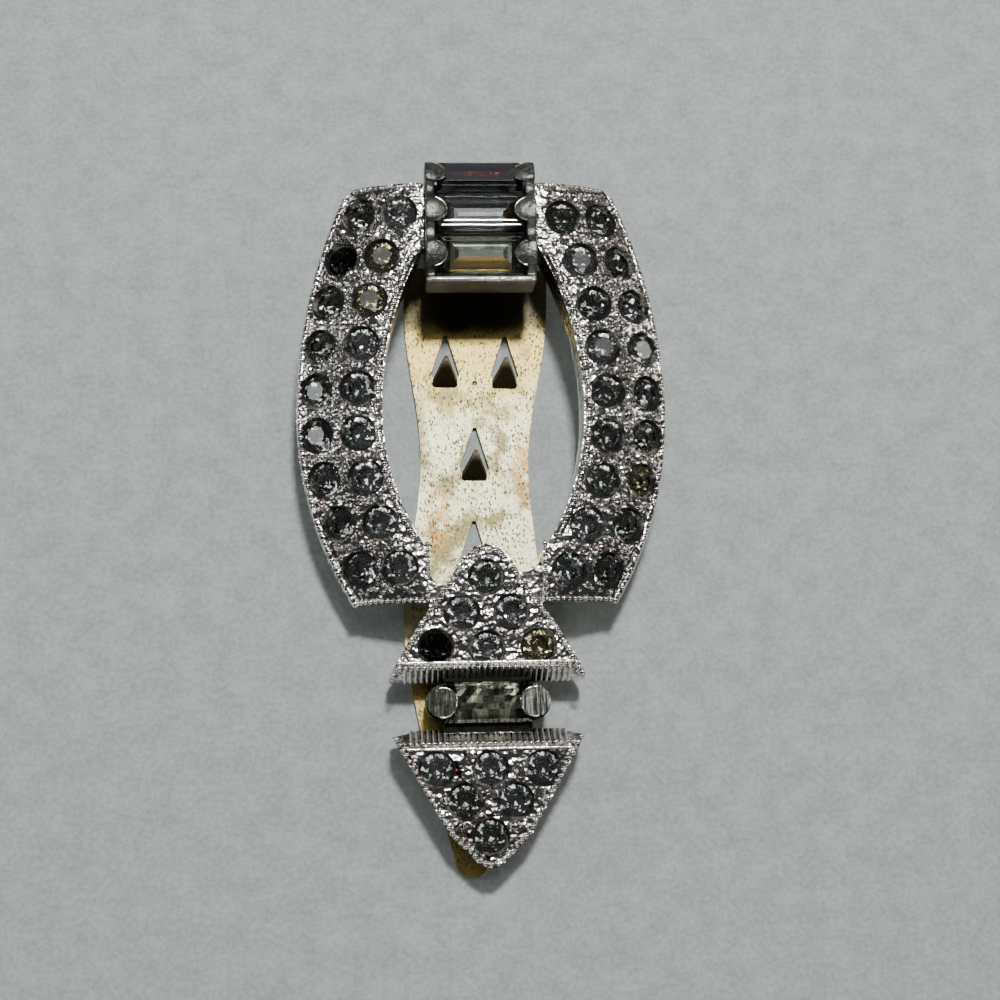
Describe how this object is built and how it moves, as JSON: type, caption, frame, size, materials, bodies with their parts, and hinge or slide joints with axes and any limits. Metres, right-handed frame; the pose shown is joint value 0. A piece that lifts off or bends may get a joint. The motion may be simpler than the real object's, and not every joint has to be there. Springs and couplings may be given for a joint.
{
  "type": "dress clip",
  "caption": "Buckle-shaped dress clip with stone-set arms, a raised stone-set bar and two arrowheads, on a sprung, hinged leaf with teeth.",
  "frame": {"origin": "on the leaf's flat underside, on the ornament's middle line, near mid-length", "axes": "+Y toward the hinge end, +Z from the leaf up through the ornament's face, +X to the right seen from the face"},
  "size_m": [0.0266, 0.051, 0.01],
  "materials": {
    "white_metal": "plated cast metal, worn",
    "dark_metal": "tarnished, satin",
    "clear_stone": "foil-backed cut glass",
    "smoky_stone": "darkened foil-backed cut glass",
    "brass": "dull",
    "leaf_sheet": "pale plated sheet, speckled"
  },
  "bodies": {
    "ornament": {"casting": "white_metal", "top_setting": "dark_metal", "baguette_top_1": "clear_stone", "baguette_top_2": "clear_stone", "baguette_top_3": "clear_stone", "baguette_lower": "smoky_stone", "upper_stone_1": "clear_stone", "upper_stone_2": "clear_stone", "upper_stone_3": "clear_stone", "upper_stone_4": "clear_stone", "upper_stone_5": "clear_stone", "upper_stone_6": "clear_stone", "lower_stone_1": "smoky_stone", "lower_stone_2": "smoky_stone", "lower_stone_3": "smoky_stone", "lower_stone_4": "smoky_stone", "lower_stone_5": "smoky_stone", "lower_stone_6": "smoky_stone", "left_arm_stones": "smoky_stone", "right_arm_stones": "smoky_stone", "hinge_bracket": "brass", "hinge_pin": "brass"},
    "leaf": {"leaf": "leaf_sheet"}
  },
  "joints": [
    {"name": "leaf_hinge", "type": "hinge", "parent": "ornament", "child": "leaf", "pos_m": [0, 0.0215, 0.00126], "axis": [1, 0, 0], "range_deg": [0, 75], "stiffness_Nm_per_rad": 0.03, "springref_deg": -14.32}
  ]
}
